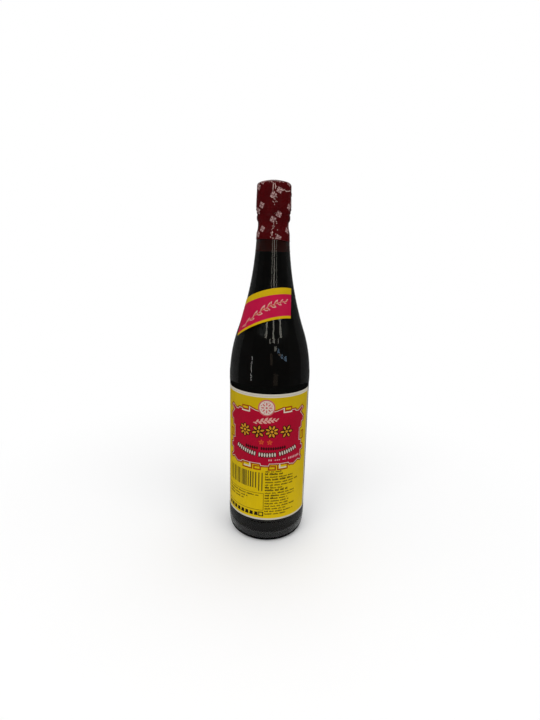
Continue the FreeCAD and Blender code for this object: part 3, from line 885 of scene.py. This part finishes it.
def on_film(x, z, lift):
    """A point of the film's flat frame: X is the azimuth times the neck's radius."""
    azimuth = x / NECK
    if z <= CLOSURE_SHOULDER:
        return round_axis(azimuth, film_radius(z) + film_creases(azimuth, z) + lift, z)
    radius, height = crown_point(z - CLOSURE_SHOULDER)
    return round_axis(azimuth, radius, height + crown_crease(azimuth, height, radius) + min(lift, 0.02 * MM))


def around_film(degrees):
    """X in the film's flat frame, in millimetres, of an azimuth in degrees."""
    return math.radians(degrees) * NECK / MM


class BOTTLE_OT_capsule(bpy.types.Operator):
    """Spins the capsule, creases its film and trims its foot"""

    bl_idname = "bottle.capsule"
    bl_label = "Capsule"

    def execute(self, context):
        across, down, meet = crown_arcs()
        sunk = 0.02 * MM  # into the glass, so that no gap shows
        pen = Pen(glass_radius(FILM_FOOT) - sunk, FILM_FOOT)
        pen.line(film_radius(FILM_FOOT), FILM_FOOT)
        pen.follow(film_radius, CLOSURE_SHOULDER, 110)
        pen.arc(across, CLOSURE_SHOULDER, meet, 8)
        pen.arc(0, CLOSURE_SHOULDER - down, math.pi / 2 - meet, 14)
        # From the middle of the closure's underside to the lip and back down the glass.
        pen.tip = pen.bm.verts.new((0, 0, LIP))
        pen.line(NECK - LIP_CORNER, LIP)
        pen.arc(NECK - LIP_CORNER, LIP - LIP_CORNER, -math.pi / 2, 4)
        pen.follow(lambda height: glass_radius(height) - sunk, FILM_FOOT, 40)
        bm = pen.spin(200)
        for vert in bm.verts:
            place = vert.co
            radius, azimuth = math.hypot(place.x, place.y), math.atan2(place.x, -place.y)
            outside = radius > 1 * MM and radius > glass_radius(place.z) + 0.1 * MM
            if place.z < FILM_FOOT + 0.01 * MM:
                place.z = film_foot(azimuth)
            elif outside and place.z <= CLOSURE_SHOULDER + 0.5 * MM:
                place.xy = place.xy * ((radius + film_creases(azimuth, place.z)) / radius)
            elif place.z > CLOSURE_SHOULDER:
                place.z += crown_crease(azimuth, place.z, radius)
        film = shrunk_film("shrunk_film", colours().film, tone(colours().film, 1.5))
        finish_piece(bm, "film_capsule", film, ("capsule",), 70)
        return {"FINISHED"}


class BOTTLE_OT_capsule_print(bpy.types.Operator):
    """Prints staggered pale blossoms on the film, and paints pale glints along the seam and the crown:
    painted highlights
    """

    bl_idname = "bottle.capsule_print"
    bl_label = "Capsule print"

    def execute(self, context):
        pale, painted_glints, steps = Print(), Print(), {0: 0.8 * MM, 2: 0.8 * MM}
        # Six columns of pairs, each with the height of its lowest pair.
        for column, low in enumerate((268.0, 261.2, 271.2, 263.6, 268.8, 260.4)):
            for row in range(3):
                x, z = around_film(60 * column - 52), low + 17.8 * row
                for side in (-1, 1):
                    self.blossom(pale, x + side * 2.3, z + side * 2.0, sizes().blossom / MM)
        self.paint_glints(painted_glints)
        bm = pale.wrap(on_film, 0.03 * MM, 0.05 * MM, steps)
        ink = printed_paper("pale_blossoms", colours().blossom, 0.12, 0.45)
        finish_piece(bm, "film_blossoms", ink)
        # Painted highlights: pale glints on the film's creases and pleats.
        bm = painted_glints.wrap(on_film, 0.05 * MM, 0.06 * MM, steps)
        ink = printed_paper("painted_glints_film", paint(202, 174, 166), 0.12, 0.4)
        finish_piece(bm, "film_painted_glints", ink)
        return {"FINISHED"}

    def blossom(self, shape, x, z, width):
        """Four petals and four dots that fill a square stood on its corner, cut off at the film's foot."""
        foot = film_foot(x * MM / NECK) / MM + 0.3
        if z > CLOSURE_SHOULDER / MM + 4 or z < foot - width * 0.3:
            return
        before = set(shape.bm.faces)
        shape.petals(x, z, 4, width * 0.30, width * 0.44, width * 0.29, math.pi / 4 - 0.45)
        shape.petals(x, z, 4, width * 0.36, width * 0.13, width * 0.13, -0.45)
        shape.oval(x, z, width * 0.10, width * 0.10, sides=8)
        if z < foot + width * 0.6:
            fresh = [face for face in shape.bm.faces if face not in before]
            parts = list(dict.fromkeys(part for face in fresh for part in (face, *face.edges, *face.verts)))
            cut, down = (0, 0, foot * MM), (0, 0, -1)
            bmesh.ops.bisect_plane(
                shape.bm, geom=parts, dist=1e-7, plane_co=cut, plane_no=down, clear_outer=True
            )

    def paint_glints(self, shape):
        """Painted highlights: pale glints on the pleats of the seam in front, on two creases under the
        closure's shoulder, round the crown's corner, and along the edge of the crown's crease.
        """
        draw = random.Random(4)
        foot, shoulder = FILM_FOOT / MM, CLOSURE_SHOULDER / MM
        for _ in range(24):
            z = foot + draw.uniform(0.4, 15)
            x = around_film(draw.choice((-4, -1, 10)) + draw.gauss(0, 2.2))
            shape.leaf(x, z, draw.uniform(0.5, 1.2), draw.uniform(0.4, 0.75), draw.gauss(1.3, 0.7))
        for _ in range(20):
            z = foot + draw.uniform(24, 41)
            x = around_film(draw.gauss(2, 4))
            shape.leaf(x, z, draw.uniform(0.4, 1.7), draw.uniform(0.2, 0.42), draw.gauss(1.5, 0.4))
        for place, below, long, turn in ((-4, 6.0, 8.0, 1.55), (5, 3.5, 5.5, 1.72)):
            shape.leaf(around_film(place), shoulder - below, long, 0.36, turn)
        for _ in range(26):
            x, z = around_film(draw.uniform(-75, 30)), shoulder + draw.uniform(1.6, 3.6)
            shape.leaf(x, z, draw.uniform(0.3, 1.1), draw.uniform(0.15, 0.35), draw.gauss(0, 0.4))
        x, z = around_film(10.0), 299.5
        for place in range(13, 66, 3):
            right, up = around_film(place), 298.9 + draw.uniform(-0.8, 0.8)
            long, turn = math.hypot(right - x, up - z), math.atan2(up - z, right - x)
            shape.leaf(x, z, long * 1.25, draw.uniform(0.28, 0.62), turn)
            x, z = right, up


# Sash on the neck


def sash_ends(share):
    """Azimuths of the sash's left and right end at a share of its height."""
    left, right = math.radians(-80), math.radians(50)
    along = SASH_LEFT_FOOT + share * (SASH_LEFT_HEAD - SASH_LEFT_FOOT)
    for _ in range(12):
        radii = []
        for azimuth in (left, right):
            low, high = sash_span(azimuth)
            radii.append(glass_radius(low + share * (high - low)) + PAPER)
        left = SASH_AZIMUTH - math.acos(along / radii[0])
        right = math.asin(SASH_RIGHT_END / radii[1])
    return left, right


def sash_field(low, high, lift, thickness):
    """A strip of the sash between two heights, each worked out from the sash's own height."""
    steps = 50
    ends = [sash_ends(number / steps) for number in range(steps + 1)]

    def bend(along, share, depth):
        azimuth = 0.0
        for _ in range(4):
            foot, top = sash_span(azimuth)
            full = top - foot
            height = low(full) + (share + 0.5) * (high(full) - low(full))
            left, right = ends[round(min(max(height / full, 0), 1) * steps)]
            azimuth = left + (along + 0.5) * (right - left)
        return on_sash(azimuth * SASH_RADIUS, height, lift - depth)

    bm = bmesh.new()
    bmesh.ops.create_grid(bm, x_segments=100, y_segments=14, size=0.5)
    bmesh.ops.rotate(bm, verts=bm.verts, matrix=Matrix.Rotation(math.pi / 2, 3, "X"))
    return thicken(bm, thickness, bend)


class BOTTLE_OT_neck_label(bpy.types.Operator):
    """Wraps the slanted sash round the neck and prints it"""

    bl_idname = "bottle.neck_label"
    bl_label = "Neck label"

    def execute(self, context):
        shades = colours()
        stripe, stripe_foot = sizes().stripe, sizes().stripe_foot
        layers = (
            ("sash_paper", shades.paper, lambda full: 0, lambda full: full),
            ("sash_stripe", shades.sash_yellow, lambda full: full - stripe, lambda full: full),
            ("sash_stripe_foot", shades.sash_yellow, lambda full: 0, lambda full: stripe_foot),
            ("sash_ground", shades.sash_crimson, lambda full: stripe_foot, lambda full: full - stripe),
        )
        for name, shade, low, high in layers:
            paper = name == "sash_paper"
            bm = sash_field(low, high, *((-INK, PAPER - INK) if paper else (0, INK)))
            ink = printed_paper(name, shade, 0.05, 0.36, 0.08)
            finish_piece(bm, name, ink, ("neck_label",) if paper else ())
        across = SASH_RADIUS / MM
        start, end = (math.radians(-61) * across, 4.9), (math.radians(38) * across, 13.5)
        outline, fill = Print(), Print()
        outline.sprig(0.8, 3.5, 14, start, end, 1.5)
        fill.sprig(0.3, 2.3, 14, (start[0] + 0.5, start[1]), (end[0] + 0.5, end[1]), 1.5)
        bm = outline.wrap(on_sash, INK, INK, SASH_STEPS)
        finish_piece(bm, "sash_sprig", printed_paper("sprig_pale", paint(186, 150, 140)))
        bm = fill.wrap(on_sash, 2 * INK, INK, SASH_STEPS)
        finish_piece(bm, "sash_sprig_fill", printed_paper("sprig_red", paint(168, 66, 40)))
        return {"FINISHED"}


# Body label

# Half of the panel's outline in millimetres, from the top's middle round the right side to the
# bottom's middle: a saddle, a hook, a horn at the corner, a stepped side and a stepped foot.
PANEL_HALF = (
    (0, 126.4), (5.6, 126.0), (8.6, 126.5), (13.9, 128.5), (22.3, 128.3), (22.3, 126.4),
    (26.9, 126.2), (27.6, 124.7), (29.3, 124.4), (34.9, 127.4), (38.7, 123.9), (34.7, 120.8),
    (38.9, 116.4), (38.3, 111.0), (35.9, 110.6), (35.8, 105.6), (33.3, 105.2), (33.3, 96.4),
    (36.1, 95.9), (36.1, 91.2), (38.6, 90.3), (38.8, 84.4), (35.7, 84.0), (35.6, 80.9),
    (38.4, 77.4), (35.6, 74.4), (31.9, 76.2), (27.0, 73.3), (23.8, 74.2), (22.4, 73.5),
    (20.6, 75.9), (5.0, 76.2), (4.5, 74.3), (0, 74.2),
)
PANEL_FOOT = 78.0  # what lies under this height is the panel's foot
FOOT_SHIFT = -0.75  # how far everything at the panel's foot stands to the left, in millimetres

# Frets on the panel's right, mirrored on its left: beside it, under its foot, and on its top.
FRET = 1.15  # width of a fret's line
SIDE_FRET = ((35.2, 97.6), (35.2, 102.6), (38.1, 102.6), (38.1, 95.6), (35.0, 95.6))
BOX_FRET = ((3.6, 75.6), (3.6, 71.9), (9.3, 71.9), (9.3, 75.0), (5.6, 75.0))
HOOK_FRET = ((11.4, 75.6), (11.4, 72.0), (20.3, 72.0), (20.3, 76.0))
PALE_FRET = ((13.2, 76.4), (13.2, 73.5), (18.9, 73.5))
TOP_HOOK = ((14.9, 127.2), (14.9, 123.6), (22.0, 123.6), (22.0, 125.4))
TOP_BOX = ((15.9, 127.9), (15.9, 125.2), (21.8, 125.2), (21.8, 127.9), (15.9, 127.9))


def label_layer(shape, name, shade, layer, **looks):
    """Wraps a flat shape onto the body label as one of its printed layers."""
    bm = shape.wrap(on_label, layer * INK - 2 * INK, INK * 1.5, LABEL_STEPS)
    finish_piece(bm, name, printed_paper(name, shade, **looks))


def panel_shape(inset):
    """The panel's outline, moved in."""
    outline = [(-x, z) for x, z in PANEL_HALF] + [(x, z) for x, z in reversed(PANEL_HALF[1:-1])]
    shape = Print()
    face = shape.patch([(x + FOOT_SHIFT * (z < PANEL_FOOT), z) for x, z in outline])
    bmesh.ops.recalc_face_normals(shape.bm, faces=shape.bm.faces)
    if inset:
        rim = bmesh.ops.inset_region(
            shape.bm, faces=[face], thickness=inset, use_boundary=True, use_even_offset=True
        )["faces"]
        bmesh.ops.delete(shape.bm, geom=rim, context="FACES")
    return shape


class BOTTLE_OT_body_label(bpy.types.Operator):
    """Wraps the body label's paper round the panel and prints its yellow ground"""

    bl_idname = "bottle.body_label"
    bl_label = "Body label"

    def execute(self, context):
        shades = colours()
        half = LABEL_HALF * (PANEL + PAPER) / MM
        low, high = LABEL_LOW.z / MM - 0.7, LABEL_HIGH.z / MM
        border, border_foot, border_side = (
            size / MM for size in (sizes().border, sizes().border_foot, sizes().border_side)
        )
        paper, ground, line = Print(), Print(), Print()
        paper.bar(-half, low, half, high)
        ground.bar(border_side - half, low + border_foot, half - border_side, high - border)
        line.bar(-half, high - 1.75, half, high - 1.45)
        bm = paper.wrap(on_label, -2 * INK, PAPER - 2 * INK, LABEL_STEPS)
        bare = printed_paper("bare_paper", shades.paper, 0.03)
        finish_piece(bm, "label_paper", bare, ("body_label",))
        # The yellow ground gets painted light: lighter towards its foot, darker towards its top.
        label_layer(ground, "label_ground", shades.yellow, 1, depth=0.04, roughness=0.42, fade=0.14)
        label_layer(line, "label_top_line", tone(shades.paper, 0.55), 1)
        return {"FINISHED"}


class BOTTLE_OT_label_panel(bpy.types.Operator):
    """Prints the crimson panel, its frets, the medallion, the rosettes and the beads"""

    bl_idname = "bottle.label_panel"
    bl_label = "Label panel"

    def execute(self, context):
        shades, line = colours(), sizes().outline
        rust, pale, crimson = (panel_shape(share * line) for share in (0, 1.4, 2.05))
        foot, hooks, boxes, yellow = Print(), Print(), Print(), Print()
        for flip in (-1, 1):
            rust.fret(SIDE_FRET, FRET, flip)
            rust.fret(BOX_FRET, FRET, flip, FOOT_SHIFT)
            rust.fret(HOOK_FRET, FRET, flip, FOOT_SHIFT)
            foot.fret(PALE_FRET, FRET, flip, FOOT_SHIFT)
            hooks.fret(TOP_HOOK, 1.05, flip)
            boxes.fret(TOP_BOX, FRET, flip)
            yellow.bar(flip * 18.85 - 2.4, 125.75, flip * 18.85 + 2.4, 127.35)
        label_layer(rust, "panel_outline", shades.rust, 2)
        label_layer(foot, "fret_foot", shades.paper, 2)
        label_layer(pale, "panel_inner_line", shades.paper, 3)
        label_layer(crimson, "panel_ground", shades.crimson, 4, depth=0.05, roughness=0.42)
        label_layer(hooks, "hook_line", shades.paper, 5)
        label_layer(boxes, "hook_box", shades.rust, 6)
        label_layer(yellow, "hook_middle", shades.yellow, 7)
        self.medallion(shades)
        self.beads(shades)
        self.flowers(shades)
        self.lines(shades)
        return {"FINISHED"}

    def medallion(self, shades):
        """A pale disc with a rosy ring and an eight-petalled rosette."""
        width, x, z = sizes().medallion / MM, 0, 128.0
        ring, disc, rosette = Print(), Print(), Print()
        ring.oval(x, z, width, width, sides=40)
        disc.oval(x, z, width - 2.2, width - 2.2, sides=40)
        rosette.petals(x, z, 8, width * 0.23, width * 0.20, width * 0.09)
        rosette.petals(x, z, 8, width * 0.33, width * 0.07, width * 0.07, math.pi / 8)
        rosette.oval(x, z, width * 0.13, width * 0.13)
        label_layer(ring, "medallion_ring", shades.rose, 5)
        label_layer(disc, "medallion_disc", shades.white, 6)
        label_layer(rosette, "medallion_rosette", shades.rose, 7)

    def beads(self, shades):
        """An arc of upright beads that fan out, outlined in black."""
        beads, halo, sweep = Print(), Print(), 82
        for number in range(26):
            angle = math.radians(38.4 * number / 25 - 19.4)
            if number not in (9, 17):
                x, z = sweep * math.sin(angle) + 0.5, 85.7 + sweep - sweep * math.cos(angle)
                halo.oval(x, z, 2.5, 5.3, angle)
                beads.oval(x, z, 1.4, 3.8, angle)
        label_layer(halo, "bead_outline", shades.black, 5)
        label_layer(beads, "beads", shades.white, 6)

    def flowers(self, shades):
        """Four gold rosettes outlined in black, and two small orange blossoms."""
        black, gold, orange = Print(), Print(), Print()
        rosettes = (
            (-19.2, 106.4, 8, 0), (-6.8, 106.7, 6, 0.3), (4.8, 107.0, 8, 0.39), (17.7, 106.3, 6, 0)
        )
        for x, z, count, turn in rosettes:
            black.petals(x, z, count, 3.7, 5.1, 3.7, turn)
            gold.petals(x, z, count, 3.7, 3.6, 1.8, turn)
            black.oval(x, z, 4.6, 4.6)
            gold.oval(x, z, 2.4, 2.4)
        for x in (-3.9, 3.2):
            orange.petals(x, 97.3, 5, 1.4, 2.1, 1.4, 0.3)
        label_layer(black, "rosette_outline", paint(46, 16, 12), 5)
        label_layer(gold, "rosettes", shades.gold, 6, depth=0.18)
        label_layer(orange, "orange_blossoms", shades.orange, 5)

    def lines(self, shades):
        """A dark line of leaves, a row of dashes and a sprig, in place of words."""
        dark, small, stem = Print(), Print(), Print()
        for number in range(18):
            share = number / 17 * 2 - 1
            if number != 6:
                dark.leaf(-1.5 + 17.0 * share, 91.5 + 0.7 * share**2, 2.0, 3.6, 0)
        for number in range(17):
            share = number / 16
            if number not in (2, 6, 9):
                tall = 1.8 if number < 3 else 1.1 if number < 10 else 2.3
                small.oval(3.0 + 28.5 * share, 81.0 + 0.6 * share**2, 1.2, tall)
        stem.sprig(0.8, 3.0, 12, (-11.2, 114.2), (9.5, 117.4), 0.8)
        label_layer(dark, "dark_line", paint(52, 8, 14), 5)
        label_layer(small, "net_dashes", paint(190, 140, 140), 5)
        label_layer(stem, "panel_sprig", paint(190, 140, 130), 5)


class BOTTLE_OT_small_print(bpy.types.Operator):
    """Prints the bars, the ruled box, the squares and the lines of dashes"""

    bl_idname = "bottle.small_print"
    bl_label = "Small print"

    def execute(self, context):
        draw = random.Random(11)
        bars, thin, bold = Print(), Print(), Print()
        self.bars(bars, draw)
        self.box(thin)
        # The right block of lines: where each ends, and how far it is bold from its start.
        lines = (
            (14, 0), (15, 15), (26, 0), (26, 22), (31, 0), (26, 0), (15, 5), (20, 20), (28, 0),
            (27, 8), (20, 7), (22, 0), (22, 0), (28, 0), (19, 0), (27, 0), (19, 0),
        )
        for number, (end, heavy) in enumerate(lines):
            z = 69.6 - 2.56 * number
            self.dashes(bold, draw, 0.0, heavy, z, 2.1, 1.6)
            self.dashes(thin, draw, heavy, end, z, 1.5, 1.5)
        for number, end in enumerate((-6, -16, -20)):
            self.dashes(thin, draw, -39, end, 46.4 - 2.8 * number, 1.4, 1.5)
        self.squares(bold)
        label_layer(bars, "bars", paint(84, 74, 22), 2)
        label_layer(thin, "fine_lines", colours().olive, 2)
        label_layer(bold, "bold_lines", colours().black, 2)
        return {"FINISHED"}

    def bars(self, shape, draw):
        """Uneven upright bars that stand for no number."""
        x = -38.0
        while x < -2.0:
            crowded = x < -19
            width = draw.choice((0.7, 0.9, 1.2) if crowded else (1.0, 1.1, 1.3))
            shape.bar(x, 54.0 if x < -6 else 51.5, x + width, 69.0)
            x += width + draw.choice((0.4, 0.5, 0.6, 1.6) if crowded else (1.1, 1.4, 1.8))

    def box(self, shape):
        """The ruled box under the bars, open on its left."""
        left, low, right, high, rule = -41.5, 32.6, -0.9, 49.4, 0.42
        shape.bar(left, high - rule, right, high)
        shape.bar(left, low, right, low + rule)
        shape.bar(right - rule, low + rule, right, high - rule)

    def squares(self, shape):
        """A row of uneven squares at the label's foot, the last one a ring."""
        half, low, step, high = 1.75, 27.25, 28.45, 30.75
        for number in range(9):
            x = 4.45 * number - 38.7
            left, right = x - half, x + half
            if number < 8:
                shape.bar(left, low, right, step)
                shape.bar(x - half * 0.8, step, x + half * 0.9, high)
        shape.fret(((left, high), (left, low), (right, low), (right, high), (left, high)), 0.9)

    def dashes(self, shape, draw, start, end, z, height, pace):
        """A line of words: runs of narrow uneven ticks that spell nothing."""
        x = start
        while x < end:
            word = min(x + draw.uniform(1.5, 5.0) * pace, end)
            while x < word:
                tick = draw.uniform(0.35, 0.62) * pace * 0.85
                shape.bar(x, z, x + tick, z + height * draw.uniform(0.6, 1.0))
                x += tick + 0.12 * pace
            x += 0.7 * pace


# Registering and making


class BOTTLE_PT_pieces(bpy.types.Panel):
    bl_idname = "BOTTLE_PT_pieces"
    bl_label = "Bottle"
    bl_space_type = "VIEW_3D"
    bl_region_type = "UI"
    bl_category = "Bottle"

    def draw(self, context):
        for operator in OPERATORS:
            self.layout.operator(operator.bl_idname)
        for group in (context.scene.bottle_sizes, context.scene.bottle_colours):
            for name in group.bl_rna.properties.keys():
                if name not in ("rna_type", "name"):
                    self.layout.prop(group, name)


OPERATORS = (
    BOTTLE_OT_stage,
    BOTTLE_OT_glass,
    BOTTLE_OT_vinegar,
    BOTTLE_OT_capsule,
    BOTTLE_OT_capsule_print,
    BOTTLE_OT_neck_label,
    BOTTLE_OT_body_label,
    BOTTLE_OT_label_panel,
    BOTTLE_OT_small_print,
)
CLASSES = (BottleSizes, BottleColours, *OPERATORS, BOTTLE_PT_pieces)


def register():
    for kind in CLASSES:
        bpy.utils.register_class(kind)
    bpy.types.Scene.bottle_sizes = bpy.props.PointerProperty(type=BottleSizes)
    bpy.types.Scene.bottle_colours = bpy.props.PointerProperty(type=BottleColours)


def unregister():
    del bpy.types.Scene.bottle_colours
    del bpy.types.Scene.bottle_sizes
    for kind in reversed(CLASSES):
        bpy.utils.unregister_class(kind)


def main():
    register()
    for operator in OPERATORS:
        group, name = operator.bl_idname.split(".")
        getattr(getattr(bpy.ops, group), name)()
    bpy.context.view_layer.update()


if __name__ == "__main__":
    main()
